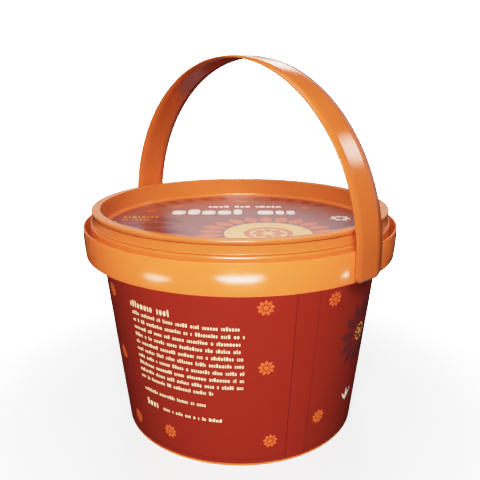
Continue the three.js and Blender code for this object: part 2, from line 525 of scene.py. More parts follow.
def turned_mesh(outline: Sequence[Point2], sides: int = FINE_SIDES, closed: bool = False) -> MeshBuilder:
    """Turns an outline about the tub's axis.

    Args:
        outline: Radius and height of each point; a point on the axis closes the body there.
        sides: How many sides the body gets.
        closed: Whether the outline is a closed ring.

    Returns:
        The turned mesh.
    """
    builder = MeshBuilder()
    rings: list[list[int]] = []
    for radius, height in outline:
        angles = full_turn(1 if radius < ON_AXIS else sides)
        rings.append([builder.add(*on_circle((0, 0), radius, angle), height) for angle in angles])
    pairs = list(zip(rings, rings[1:]))
    if closed:
        pairs.append((rings[-1], rings[0]))
    for lower, upper in pairs:
        if len(lower) > 1 and len(upper) > 1:
            builder.bridge(lower, upper, closed=True)
            continue
        hub, rim = (lower[0], upper) if len(lower) == 1 else (upper[0], lower)
        for i, corner in enumerate(rim):
            builder.faces.append((hub, corner, rim[(i + 1) % sides]))
    return builder


def cut_with(target: bpy.types.Object, tool: bpy.types.Object) -> None:
    """Cuts one closed mesh out of another and removes the tool.

    Args:
        target: The piece that is cut.
        tool: The mesh that cuts it.
    """
    modifier = target.modifiers.new("cut", "BOOLEAN")
    modifier.operation = "DIFFERENCE"
    modifier.solver = "EXACT"
    modifier.object = tool
    bpy.context.view_layer.update()
    cut = bpy.data.meshes.new_from_object(target.evaluated_get(bpy.context.evaluated_depsgraph_get()))
    target.modifiers.clear()
    old = target.data
    target.data = cut
    bpy.data.meshes.remove(old)
    bpy.data.objects.remove(tool)


# ---- tub ----


@dataclass
class TubBody:
    """The tapered tub with its foot ring, and the splash collar that stands round the lid."""

    plastic: MouldedPolypropylene
    foot_ring_width: float = 4.2
    foot_recess: float = 1.5
    gate_radius: float = 2.6
    stiffener_radius: float = 30.2
    stiffener_width: float = 1.4
    foot_relief: float = 0.5  # height of the gate dimple and of the stiffening ring
    collar_foot_radius: float = 69.2
    collar_foot_height: float = 80.35
    collar_top_radius: float = 69.8
    collar_bulge: float = 0.28
    collar_wall: float = 1.3
    collar_lip: float = 0.7  # the collar thins towards its top edge
    gutter_height: float = 83.5
    seat_radius: float = 63.9
    pivot_hole_radius: float = 2.75
    hole_start_radius: float = 66.5  # in the gutter, clear of the lid's seat

    def underside(self) -> list[Corner]:
        """Gives the foot: gate dimple, stiffening ring, recess and the ring that the tub stands on.

        Returns:
            Its corners, from the axis out to the wall's foot.
        """
        floor, relief = self.foot_recess, self.foot_relief
        slope, inner, outer = 0.7, self.stiffener_radius, self.stiffener_radius + self.stiffener_width
        ring_inner = FOOT_RADIUS - self.foot_ring_width
        return [
            Corner(0, floor + relief),
            Corner(self.gate_radius, floor + relief, 0.3),
            Corner(self.gate_radius + relief, floor, 0.3),
            Corner(inner - slope, floor, 0.4),
            Corner(inner, floor - relief, 0.4),
            Corner(outer, floor - relief, 0.4),
            Corner(outer + slope, floor, 0.4),
            Corner(ring_inner - floor / 2, floor, 0.7),
            Corner(ring_inner, 0, 0.5),
            Corner(FOOT_RADIUS, 0, 0.6),
        ]

    def collar_face(self, steps: int = 12) -> list[Corner]:
        """Gives the collar's outer face, a cone that swells a little halfway up.

        Args:
            steps: How many steps its height is cut into.

        Returns:
            Its corners between the two edges.
        """
        height = box_mm("tub")[1].z - self.collar_foot_height
        corners = []
        for i in range(1, steps):
            rise = i / steps
            cone = self.collar_foot_radius + (self.collar_top_radius - self.collar_foot_radius) * rise
            swell = self.collar_bulge * 4 * rise * (1 - rise)
            corners.append(Corner(cone + swell, self.collar_foot_height + height * rise))
        return corners

    def outline(self) -> list[Point2]:
        """Gives the whole turned outline, up the outside and back to the axis.

        Returns:
            Radius and height of each point.
        """
        top = box_mm("tub")[1].z
        bed_top = box_mm("wrap_label")[1].z + 0.1
        inner = self.collar_foot_radius - self.collar_wall
        edge = 0.15
        corners = [
            *self.underside(),
            Corner(wall_radius(WRAP_FOOT_HEIGHT), WRAP_FOOT_HEIGHT),
            Corner(wall_radius(WRAP_FOOT_HEIGHT) - LABEL_BED, WRAP_FOOT_HEIGHT),
            Corner(wall_radius(bed_top) - LABEL_BED, bed_top),
            Corner(wall_radius(bed_top), bed_top),
            Corner(wall_radius(WALL_TOP_HEIGHT), WALL_TOP_HEIGHT, 0.5),
            Corner(inner, WALL_TOP_HEIGHT, 0.5),
            Corner(inner, self.collar_foot_height, 0.4),
            Corner(self.collar_foot_radius, self.collar_foot_height, edge),
            *self.collar_face(),
            Corner(self.collar_top_radius, top, edge),
            Corner(self.collar_top_radius - self.collar_lip, top, edge),
            Corner(inner, self.gutter_height, 0.8),
            Corner(self.seat_radius, self.gutter_height, 0.6),
            Corner(self.seat_radius, CONTENTS_TOP, 0.5),
            Corner(0, CONTENTS_TOP),
        ]
        return rounded_outline(corners)

    def pivot_bars(self) -> bpy.types.Object:
        """Makes the two round bars that open the pivot holes in the collar.

        Returns:
            The bars, as one mesh.
        """
        builder = MeshBuilder()
        hole = [on_circle((0, PIVOT_HEIGHT), self.pivot_hole_radius, a) for a in full_turn(48)]
        for side in (1, -1):
            rings = [
                [builder.add(side * reach, y, z) for y, z in hole]
                for reach in (self.hole_start_radius, self.collar_top_radius + 2)
            ]
            builder.bridge(rings[0], rings[1], closed=True)
            builder.faces += [tuple(ring) for ring in rings]
        return builder.piece("pivot_bars", self.plastic.material())

    def build(self) -> list[bpy.types.Object]:
        """Makes the tub, cuts its pivot holes and lets it stand for its CAD node.

        Returns:
            The pieces.
        """
        body = turned_mesh(self.outline()).piece("tub_shell", self.plastic.material())
        cut_with(body, self.pivot_bars())
        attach(body, "pack")
        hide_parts("tub")
        return [body]


# ---- lid ----


@dataclass
class PushDownLid:
    """The lid: a sunk panel in a tall rim, and a skirt with a groove, a step and a bead."""

    plastic: MouldedPolypropylene
    skirt_inner_radius: float = 64.4
    bead_height: float = 93.45
    bead_radius: float = 1.2
    step_radius: float = 66.4
    step_height: float = 95.15
    step_face: Point2 = (0.07, -0.35)  # from the step's edge down to the bead
    step_ledge: Point2 = (-0.33, 0.12)  # from its edge in to the groove
    groove_radius: float = 65.25
    groove_height: float = 98.35
    rim_radius: float = 66.0
    rim_foot: Point2 = (-0.05, 0.3)  # set off from the rim's radius and the groove's top
    rim_inner_radius: float = 62.1
    rim_edge: float = 0.3
    rim_crown: float = 0.6  # the rim's outer edge, which the lid is pressed down by
    panel_radius: float = 60.4
    panel_fillet: float = 1.9
    panel_height: float = 91.15
    label_gap: float = 0.15
    clearance: float = 0.3  # between the lid and the tub's solid middle

    def bead(self) -> list[Corner]:
        """Gives the upper half of the bead; under it the skirt runs straight down.

        Returns:
            Its corners, from the skirt up to the step.
        """
        middle = (box_mm("lid")[1].x - self.bead_radius, self.bead_height)
        angles = (math.radians(72 * i / 8) for i in range(9))
        return [Corner(*on_circle(middle, self.bead_radius, angle)) for angle in angles]

    def outline(self) -> list[Point2]:
        """Gives the whole turned outline, from the underside over the rim to the panel's middle.

        Returns:
            Radius and height of each point.
        """
        low, high = box_mm("lid")
        bed_radius = box_mm("lid_label")[1].x + self.label_gap
        underside = CONTENTS_TOP + self.clearance
        bed = self.panel_height - LABEL_BED
        corners = [
            Corner(0, underside),
            Corner(self.skirt_inner_radius, underside, 0.5),
            Corner(self.skirt_inner_radius, low.z, 0.4),
            Corner(high.x - 0.1, low.z, 0.4),
            *self.bead(),
            Corner(self.step_radius + self.step_face[0], self.step_height + self.step_face[1], 0.1),
            Corner(self.step_radius, self.step_height, 0.12),
            Corner(self.step_radius + self.step_ledge[0], self.step_height + self.step_ledge[1], 0.1),
            Corner(self.groove_radius, self.groove_height, 0.06),
            Corner(self.rim_radius + self.rim_foot[0], self.groove_height + self.rim_foot[1], 0.06),
            Corner(self.rim_radius, high.z, self.rim_crown),
            Corner(self.rim_inner_radius, high.z, self.rim_edge),
            Corner(self.panel_radius + self.panel_fillet, self.panel_height, self.panel_fillet),
            Corner(bed_radius, self.panel_height, 0.08),
            Corner(bed_radius, bed),
            Corner(0, bed),
        ]
        return rounded_outline(corners)

    def build(self) -> list[bpy.types.Object]:
        """Makes the lid and lets it stand for its CAD node.

        Returns:
            The pieces.
        """
        lid = turned_mesh(self.outline()).piece("lid_shell", self.plastic.material())
        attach(lid, "pack")
        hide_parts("lid")
        return [lid]


# ---- handle ----


@dataclass
class StrapHandle:
    """The strap handle: a bevelled strap bent into an arch, with a pivot stud inside each round end."""

    plastic: MouldedPolypropylene
    arm_thickness: float = 1.2
    crown_thickness: float = 1.6
    shoulder_inset: float = 3.7  # width of the bevel along each edge
    shoulder_width: float = 0.4
    edge_share: float = 0.46  # thickness left at the strap's edge, of the full thickness
    edge_swell: float = 0.15
    end_inset_share: float = 0.25
    end_radius: float = 3.6
    end_radius_least: float = 0.3  # of the innermost outline's corners
    spring_height: float = 90.0
    exponent: float = 1.95
    arch_samples: int = 720
    rows_along: int = 210
    stud_neck_radius: float = 2.4
    stud_head_radius: float = 3.0
    stud_head_inner: float = 67.15
    stud_head_length: float = 0.75
    stud_root: float = 0.4  # how deep the neck is rooted in the arm
    length: float = field(init=False, default=0.0)  # of the strap, measured along its middle by spine

    def line(self, half_span: float, crown: float) -> list[Point2]:
        """Gives one face of the strap in the plane of the arch.

        Args:
            half_span: Distance from the axis to that face of an arm.
            crown: Height of that face at the crown.

        Returns:
            Points from the left end over the crown to the right end.
        """
        foot = box_mm("handle")[0].z
        arm_steps = 40
        rise = crown - self.spring_height
        power = 2 / self.exponent
        left = [
            (-half_span, foot + (self.spring_height - foot) * i / arm_steps) for i in range(arm_steps)
        ]
        arch = []
        for i in range(self.arch_samples + 1):
            angle = math.pi * i / self.arch_samples
            across = math.copysign(abs(math.cos(angle)) ** power, math.cos(angle))
            arch.append((-half_span * across, self.spring_height + rise * abs(math.sin(angle)) ** power))
        right = [(-x, z) for x, z in reversed(left)]
        return left + arch + right

    def spine(self) -> Callable[[float, float], Point2]:
        """Works out the strap's middle line, and its length.

        Returns:
            The map from a place along the strap, and through its thickness, to the arch's plane.
        """
        high = box_mm("handle")[1]
        outer = self.line(high.x, high.z)
        inner = self.line(high.x - self.arm_thickness, high.z - self.crown_thickness)
        lengths = [0.0]
        middles = [Vector(((a[0] + b[0]) / 2, (a[1] + b[1]) / 2)) for a, b in zip(outer, inner)]
        for before, after in zip(middles, middles[1:]):
            lengths.append(lengths[-1] + (after - before).length)
        self.length = lengths[-1]

        def at(along: float, through: float) -> Point2:
            """Gives a point of the strap in the arch's plane.

            Args:
                along: Length from the strap's left end.
                through: -1 on its inner face to 1 on its outer one.

            Returns:
                The point.
            """
            target = min(max(along, 0.0), self.length)
            low = min(bisect.bisect_right(lengths, target), len(lengths) - 1) - 1
            share = (target - lengths[low]) / (lengths[low + 1] - lengths[low])
            x = [row[low][0] + (row[low + 1][0] - row[low][0]) * share for row in (inner, outer)]
            z = [row[low][1] + (row[low + 1][1] - row[low][1]) * share for row in (inner, outer)]
            blend = (through + 1) / 2
            return x[0] + (x[1] - x[0]) * blend, z[0] + (z[1] - z[0]) * blend

        return at

    def blank_outline(self, inset: float) -> list[Point2]:
        """Gives the flat strap's outline, set in from its edge, as places along and across it.

        Args:
            inset: How far inside the long edges the outline runs; it runs nearer to the short ends.

        Returns:
            Along and across of each point, the same number for every inset.
        """
        half = box_mm("handle")[1].y + self.edge_swell
        radius = max(self.end_radius - inset, self.end_radius_least)
        near = inset * self.end_inset_share + radius
        far = self.length - near
        side = half - inset - radius
        rows, corner_steps = self.rows_along, 8
        points = [(near + (far - near) * i / rows, side + radius) for i in range(rows + 1)]
        points += self.round_corner((far, side), radius, 90, corner_steps)
        points += self.round_corner((far, -side), radius, 0, corner_steps)
        points += [(far + (near - far) * i / rows, -side - radius) for i in range(1, rows + 1)]
        points += self.round_corner((near, -side), radius, 270, corner_steps)
        points += self.round_corner((near, side), radius, 180, corner_steps)
        return points[:-1]

    @staticmethod
    def round_corner(middle: Point2, radius: float, start: float, steps: int) -> list[Point2]:
        """Gives a quarter circle, clockwise from a starting angle in degrees, without its first point."""
        return [on_circle(middle, radius, math.radians(start - 90 * i / steps)) for i in range(1, steps + 1)]

    def section(self) -> list[Point2]:
        """Gives the strap's half section as inset from the edge and share of half the thickness.

        It runs from the rounded edge up the bevel, and over a narrow shoulder onto the flat band.

        Returns:
            Inset and share of each of its corners.
        """
        return [
            (0.0, 0.1),
            (0.12, self.edge_share),
            (self.shoulder_inset, 0.98),
            (self.shoulder_inset + self.shoulder_width, 1.0),
        ]

    def strap(self) -> bpy.types.Object:
        """Makes the strap: both faces and the edge, with the flat middle band between the bevels.

        Returns:
            The strap.
        """
        at = self.spine()
        builder = MeshBuilder()
        rings: dict[int, list[list[int]]] = {1: [], -1: []}
        for face in (1, -1):
            for inset, share in self.section():
                ring = []
                for along, across in self.blank_outline(inset):
                    x, z = at(along, face * share)
                    ring.append(builder.add(x, across, z))
                rings[face].append(ring)
            for outer_ring, inner_ring in zip(rings[face], rings[face][1:]):
                builder.bridge(outer_ring, inner_ring, closed=True)
            self.fill_band(builder, rings[face][-1])
        builder.bridge(rings[1][0], rings[-1][0], closed=True)
        return builder.piece("handle_strap", self.plastic.material(), sharp_angle=math.pi)

    def fill_band(self, builder: MeshBuilder, ring: list[int]) -> None:
        """Fills the flat middle band across the strap between the two long sides of a ring.

        Args:
            builder: The strap's mesh.
            ring: The innermost ring of one face.
        """
        rows = self.rows_along
        count = len(ring)
        corner = (count - 2 * rows) // 2
        upper = ring[: rows + 1]
        lower = [ring[(rows + corner + rows - i) % count] for i in range(rows + 1)]
        for i in range(rows):
            builder.faces.append((upper[i], upper[i + 1], lower[i + 1], lower[i]))
        far_end = [ring[(rows + i) % count] for i in range(corner + 1)]
        near_end = [ring[(2 * rows + corner + i) % count] for i in range(corner + 1)]
        builder.faces.append(tuple(far_end))
        builder.faces.append(tuple(near_end))

    def stud(self, side: int) -> bpy.types.Object:
        """Makes one pivot stud: a neck through the collar and a wider head behind it.

        Args:
            side: 1 for the stud at +X and -1 for the one at -X.

        Returns:
            The stud.
        """
        root = box_mm("handle")[1].x - self.arm_thickness + self.stud_root
        head_outer = self.stud_head_inner + self.stud_head_length
        outline = rounded_outline(
            [
                Corner(0, self.stud_head_inner),
                Corner(self.stud_head_radius - 0.3, self.stud_head_inner, 0.2),
                Corner(self.stud_head_radius, self.stud_head_inner + 0.3, 0.15),
                Corner(self.stud_head_radius, head_outer, 0.1),
                Corner(self.stud_neck_radius, head_outer, 0.1),
                Corner(self.stud_neck_radius, root),
                Corner(0, root),
            ]
        )
        turned = turned_mesh(outline, sides=48)
        turned.vertices = [(side * z, y, PIVOT_HEIGHT + x) for x, y, z in turned.vertices]
        name = "pivot_stud_right" if side > 0 else "pivot_stud_left"
        return turned.piece(name, self.plastic.material())

    def build(self) -> list[bpy.types.Object]:
        """Makes the strap and its two studs, which stand for the handle's CAD node.

        Returns:
            The pieces.
        """
        pieces = [self.strap(), self.stud(1), self.stud(-1)]
        for piece in pieces:
            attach(piece, "handle")
            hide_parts("handle")
        return pieces


# ---- print ----

OVERPRINT = 0.03  # how much higher an ink lies for each print under it


@dataclass
class FlatPrint:
    """Flat convex shapes of one ink, drawn in millimetres and later laid onto a label."""

    name: str
    ink: bpy.types.Material
    lift: float = 0.0  # how much higher than other inks it lies, where it overprints them
    ink_depth: float = 0.05  # how thick the ink layer is modelled; it is half sunk in the film
    strip_width: float = 1.2  # a shape is cut into strips so that it follows the label's curve
    least_side: float = 0.01  # half the straight stretch that a bar's rounding leaves at least
    shapes: list[list[Point2]] = field(default_factory=list)

    def polygon(self, points: Sequence[Point2]) -> None:
        """Adds one closed shape."""
        self.shapes.append(list(points))

    def bar(self, x: float, y: float, width: float, height: float, rounding: float = 0.3) -> None:
        """Adds a bar with round corners.

        Args:
            x: Across of its left end.
            y: Its middle height.
            width: How long it is.
            height: How tall it is.
            rounding: Radius of its corners.
        """
        radius = min(rounding, width / 2 - self.least_side, height / 2 - self.least_side)
        left, right = x + radius, x + width - radius
        low, high = y - height / 2 + radius, y + height / 2 - radius
        corners = (((right, high), 0), ((left, high), 90), ((left, low), 180), ((right, low), 270))
        turns = [(middle, math.radians(start + 30 * i)) for middle, start in corners for i in range(4)]
        self.polygon([on_circle(middle, radius, turn) for middle, turn in turns])

    def disc(self, x: float, y: float, radius: float, sides: int = 28) -> None:
        """Adds a round dot."""
        self.polygon([on_circle((x, y), radius, turn) for turn in full_turn(sides)])

    def ring(self, x: float, y: float, radius: float, width: float, sides: int = 48) -> None:
        """Adds a round line as a row of short pieces.

        Args:
            x: Across of its middle.
            y: Height of its middle.
            radius: Its outer radius.
            width: How wide the line is.
            sides: How many short pieces make it.
        """
        middle, inner = (x, y), radius - width
        for i in range(sides):
            first, second = math.tau * i / sides, math.tau * (i + 1) / sides
            spokes = ((inner, first), (radius, first), (radius, second), (inner, second))
            self.polygon([on_circle(middle, reach, turn) for reach, turn in spokes])

    def leaf(self, x: float, y: float, length: float, width: float, degrees: float) -> None:
        """Adds a pointed oval that grows from a stem.

        Args:
            x: Across of its stem.
            y: Height of its stem.
            length: From stem to tip.
            width: Its greatest width.
            degrees: How far it leans from the right, counterclockwise.
        """
        turn = math.radians(degrees)
        steps = 9
        edge = [(length * i / steps, width / 2 * math.sin(math.pi * i / steps)) for i in range(steps + 1)]
        outline = edge + [(along, -out) for along, out in reversed(edge[1:-1])]
        self.polygon([rotated(along, out, turn, (x, y)) for along, out in outline])

    def rosette(
        self, x: float, y: float, radius: float, petals: int, inner: float = 0.34, fullness: float = 0.85
    ) -> None:
        """Adds a ring of petals round an open middle.

        Args:
            x: Across of the middle.
            y: Height of the middle.
            radius: Reach of the petals.
            petals: How many petals there are.
            inner: Where the petals start, as a share of the radius.
            fullness: How much of its sector a petal fills; they stay apart below 0.9.
        """
        start = inner * radius
        width = (start + radius) * math.tan(math.pi / petals) * fullness
        for turn in full_turn(petals):
            upright = turn + math.pi / 2
            self.leaf(*on_circle((x, y), start, upright), radius - start, width, math.degrees(upright))

    @staticmethod
    def keep_side(shape: Sequence[Point2], edge: float, side: int) -> list[Point2]:
        """Cuts a convex shape along an upright line and keeps one side of it.

        Args:
            shape: The shape's points in order.
            edge: Across of the line.
            side: 1 to keep what is right of the line, or -1 for what is left.

        Returns:
            The points of what is kept, or none.
        """
        kept: list[Point2] = []
        for (x0, y0), (x1, y1) in zip(shape, [*shape[1:], shape[0]]):
            start, stop = side * (x0 - edge), side * (x1 - edge)
            if start >= 0:
                kept.append((x0, y0))
            if start * stop < 0:
                share = start / (start - stop)
                kept.append((edge, y0 + (y1 - y0) * share))
        return kept

    def strips(self) -> Iterable[list[Point2]]:
        """Gives every shape in upright strips.

        Returns:
            The strips, one after the other.
        """
        width = self.strip_width
        for shape in self.shapes:
            lefts = [x for x, _ in shape]
            for i in range(math.floor(min(lefts) / width), math.ceil(max(lefts) / width)):
                strip = self.keep_side(self.keep_side(shape, i * width, 1), (i + 1) * width, -1)
                if len(strip) > 2:
                    yield strip

    def lay(self, place: Callable[[float, float, float], Point3]) -> bpy.types.Object:
        """Lays the print onto a label as a thin closed layer of ink.

        Args:
            place: Gives a point in millimetres from across, up and out of the label.

        Returns:
            The printed piece.
        """
        builder = MeshBuilder()
        for strip in self.strips():
            top = [builder.add(*place(x, y, self.ink_depth / 2 + self.lift)) for x, y in strip]
            under = [builder.add(*place(x, y, -self.ink_depth / 2)) for x, y in strip]
            builder.bridge(top, under, closed=True)
            builder.faces += [tuple(top), tuple(under)]
        return builder.piece(self.name, self.ink)


@dataclass
class DummyText:
    """Rows of small blocks in word-like groups: it has the weight of small print and says nothing."""

    seed: int
    height: float = 1.5
    pitch: float = 2.8
    bold: bool = False
    tall_share: float = 0.22  # how many of the blocks are tall ones
    tall_height: float = 1.35  # how tall they are, in heights of the others

    def row(self, ink: FlatPrint, x: float, y: float, width: float) -> None:
        """Sets one row.

        Args:
            ink: The print that the row is drawn in.
            x: The row's left end.
            y: The row's middle height.
            width: How long the row is.
        """
        rng = random.Random(self.seed + round(y * 10))
        unit = self.height
        letter_gap, word_gap = (0.16 if self.bold else 0.3) * unit, 0.8 * unit
        widths = (0.5, 0.7, 0.8, 0.95) if self.bold else (0.3, 0.42, 0.5, 0.6)
        cursor, left_in_word = x, rng.randint(2, 9)
        while cursor < x + width:
            block = unit * rng.choice(widths)
            if cursor + block > x + width:
                break
            height = unit * (self.tall_height if rng.random() < self.tall_share else 1.0)
            ink.bar(cursor, y + (height - unit) / 2, block, height, rounding=0.28 * unit)
            left_in_word -= 1
            cursor += block + letter_gap
            if left_in_word == 0:
                cursor += word_gap
                left_in_word = rng.randint(1, 9)

    def paragraph(self, ink: FlatPrint, x: float, top: float, width: float, rows: int, last: float) -> None:
        """Sets a block of rows with a shorter last one.

        Args:
            ink: The print that the rows are drawn in.
            x: The block's left edge.
            top: The first row's middle height.
            width: How long the full rows are.
            rows: How many rows there are.
            last: How much of the width the last row takes.
        """
        for i in range(rows):
            share = last if i == rows - 1 else 1.0
            self.row(ink, x, top - i * self.pitch, width * share)


def film_piece(name: str, body: MeshBuilder, film: PrintedFilm, node: str) -> bpy.types.Object:
    """Makes a label's film and lets it stand for its CAD node.

    Args:
        name: The piece's name.
        body: The film's mesh.
        film: Its finish.
        node: The CAD node that it replaces.

    Returns:
        The film.
    """
    made = body.piece(name, film.material())
    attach(made, "pack")
    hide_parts(node)
    return made


def label_prints(
    label: str, inks: dict[str, bpy.types.Material], levels: dict[str, int]
) -> dict[str, FlatPrint]:
    """Starts a label's prints.

    Args:
        label: The label's short name.
        inks: The label's inks.
        levels: How many prints lie under each; its key is its ink's name, with or without _top.

    Returns:
        The prints by their keys.
    """
    return {
        key: FlatPrint(f"{label}_print_{key}", inks[key.removesuffix("_top")], level * OVERPRINT)
        for key, level in levels.items()
    }


def laid_prints(
    prints: Iterable[FlatPrint], place: Callable[[float, float, float], Point3]
) -> list[bpy.types.Object]:
    """Lays a label's prints onto it.

    Args:
        prints: The prints.
        place: Gives a point in millimetres from across, up and out of the label.

    Returns:
        The printed pieces.
    """
    layers = [layer.lay(place) for layer in prints]
    for layer in layers:
        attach(layer, "pack")
    return layers


@dataclass
class WrapLabel:
    """The printed sleeve round the wall. Across is measured in millimetres round the wall from its datum."""

    film: PrintedFilm
    inks: dict[str, bpy.types.Material]
    datum_degrees: float = -43.5  # the direction, seen from above, that across is measured from
    datum_radius: float = 57.3  # where a degree of turn is a millimetre across
    thickness: float = 0.3
    seam_left: float = 20.4
    seam_width: float = 9.4
    lap: float = 0.07  # how much higher the overlapping end lies
    hem_height: float = 2.3

    def place(self, across: float, up: float, out: float) -> Point3:
        """Gives the point on the wall at a place on the flat print.

        Args:
            across: Millimetres round the wall.
            up: Height above the foot.
            out: How far out of the wall.

        Returns:
            The point.
        """
        angle = math.radians(self.datum_degrees) + across / self.datum_radius
        radius = wall_radius(up) + out
        return radius * math.cos(angle), radius * math.sin(angle), up

    def film_ring(self) -> MeshBuilder:
        """Gives the sleeve itself.

        Returns:
            Its mesh.
        """
        low, high = WRAP_FOOT_HEIGHT, box_mm("wrap_label")[1].z
        corners = [
            Corner(wall_radius(low) - self.thickness, low),
            Corner(wall_radius(low), low, 0.06),
            Corner(wall_radius(high), high, 0.06),
            Corner(wall_radius(high) - self.thickness, high),
        ]
        return turned_mesh(rounded_outline(corners, closed=True), closed=True)

    def seam(self) -> list[FlatPrint]:
        """Gives the strip where the sleeve laps over itself, and the fine dark line at each of its edges.

        Returns:
            The strip's print and the lines'.
        """
        low, high = WRAP_FOOT_HEIGHT, box_mm("wrap_label")[1].z
        middle, height = (low + high) / 2, high - low
        strip = FlatPrint("label_lap", self.film.material(), lift=self.lap)
        strip.bar(self.seam_left, middle, self.seam_width, height - 0.1, rounding=0.02)
        lines = FlatPrint("label_seam_lines", self.inks["seam"], lift=self.lap + OVERPRINT)
        for edge, width in ((self.seam_left, 0.3), (self.seam_left + self.seam_width, 0.2)):
            lines.bar(edge - width / 2, middle, width, height - 0.2, rounding=0.02)
        return [strip, lines]

    def hem(self, ink: FlatPrint) -> None:
        """Draws the fine line round the label's foot.

        Args:
            ink: The print that the line is drawn in.
        """
        steps, length = 120, math.tau * self.datum_radius
        for i in range(steps):
            left = length * (i / steps - 0.5)
            ink.bar(left, WRAP_FOOT_HEIGHT + self.hem_height, length / steps, 0.25, rounding=0.01)

    def information(self, ink: FlatPrint) -> None:
        """Sets the block of small print beside the seam, with its heading and its foot notes.

        Args:
            ink: The print that the block is set in.
        """
        left, width = -45.4, 47.1
        DummyText(seed=5, height=2.2).row(ink, left - 0.6, 67.8, 20.0)
        small = DummyText(seed=11, height=1.25, pitch=3.25)
        small.paragraph(ink, left, 64.1, width, rows=10, last=0.75)
        small.row(ink, left + 1.0, 29.0, 31.0)
        DummyText(seed=2, height=2.4).row(ink, left + 1.5, 22.6, 8.0)
        small.row(ink, left + 11.0, 22.2, 27.0)

    def rosettes(self, ink: FlatPrint) -> None:
        """Scatters small rosettes over the sleeve, clear of the small print and the panels.

        Args:
            ink: The print that they are drawn in.
        """
        radius = 3.3
        spots = [
            (10, 47), (13, 12), (-32, 12), (9, 73), (37, 72), (36, 18), (-61, 69), (-60, 40), (-55, 10),
            (-84, 22), (-86, 62), (142, 14), (176, 70), (174, 30), (-170, 52),
        ]  # fmt: skip
        for x, y in spots:
            ink.rosette(x, y, radius, petals=9)
            ink.disc(x, y, 0.3 * radius, sides=14)

    def dahlia(self, petals: FlatPrint, beads: FlatPrint, x: float, y: float, radius: float) -> None:
        """Draws one large flower with beads round its heart.

        Args:
            petals: The print of the petals and the heart.
            beads: The print of the beads, which lies over it.
            x: Across of its middle.
            y: Height of its middle.
            radius: Reach of the petals.
        """
        count = 13
        petals.rosette(x, y, radius, petals=count, inner=0.32, fullness=0.8)
        petals.disc(x, y, 0.3 * radius, sides=36)
        for turn in full_turn(count):
            beads.disc(*on_circle((x, y), 0.22 * radius, turn), 0.5, sides=10)
        beads.disc(x, y, 0.09 * radius, sides=16)

    def panel(self, prints: dict[str, FlatPrint]) -> None:
        """Draws the framed front panel: a medallion over a dummy title.

        Args:
            prints: The label's prints by their keys.
        """
        x, y, half, low, high = 106.0, 47.0, 27.0, 5.0, 77.0
        gold = prints["gold"]
        for side in (-1, 1):
            gold.bar(x + side * half - 0.5, (low + high) / 2, 1.0, high - low)
        for height in (low, high):
            gold.bar(x - half + 0.7, height, 2 * half - 1.4, 0.8)
        prints["maroon"].disc(x, y, 24.0, sides=72)
        prints["motif_top"].rosette(x, y, 22.0, petals=16, inner=0.52, fullness=0.8)
        prints["cream_top"].rosette(x, y, 10.8, petals=12, inner=0.4)
        prints["gold_top"].disc(x, y, 3.4)
        DummyText(seed=3, height=5.0, bold=True).row(prints["white"], x - 22, 15.5, 45.0)
        DummyText(seed=6, height=1.6).row(prints["cream"], x - 15, 9.6, 31.0)

    def table(self, ink: FlatPrint) -> None:
        """Draws a framed table of small print on the far side.

        Args:
            ink: The print that it is set in.
        """
        left, right, top, rows, pitch = -158.0, -98.0, 68.0, 9, 5.6
        for i in range(rows + 1):
            ink.bar(left, top - i * pitch, right - left, 0.3, rounding=0.1)
        for x in (left - 0.4, right + 0.1):
            ink.bar(x, top - rows * pitch / 2, 0.3, rows * pitch + 0.3, rounding=0.1)
        for i in range(rows):
            words = DummyText(seed=40 + i, height=1.6)
            words.row(ink, left + 2, top - (i + 0.5) * pitch, 18.0 + 5 * (i % 3))
            words.row(ink, right - 14, top - (i + 0.5) * pitch, 11.0)

    def build(self) -> list[bpy.types.Object]:
        """Makes the sleeve and its print.

        Returns:
            The pieces.
        """
        sleeve = film_piece("wrap_film", self.film_ring(), self.film, "wrap_label")
        grounds = dict.fromkeys(("cream", "motif", "maroon", "gold", "white"), 0)
        levels = grounds | {"motif_top": 1, "cream_top": 2, "gold_top": 3}
        prints = label_prints("wrap", self.inks, levels)
        hem = FlatPrint("wrap_hem_line", self.inks["seam"])
        self.information(prints["cream"])
        self.table(prints["cream"])
        self.rosettes(prints["motif"])
        for x in (60.0, 152.0):
            self.dahlia(prints["maroon"], prints["gold_top"], x, 50.0, 16.5)
        self.panel(prints)
        self.hem(hem)
        for turn in (50, 90, 130):
            prints["white"].leaf(56.0, 18.0, 6.0, 1.1, turn)
        return [sleeve, *laid_prints([*self.seam(), hem, *prints.values()], self.place)]


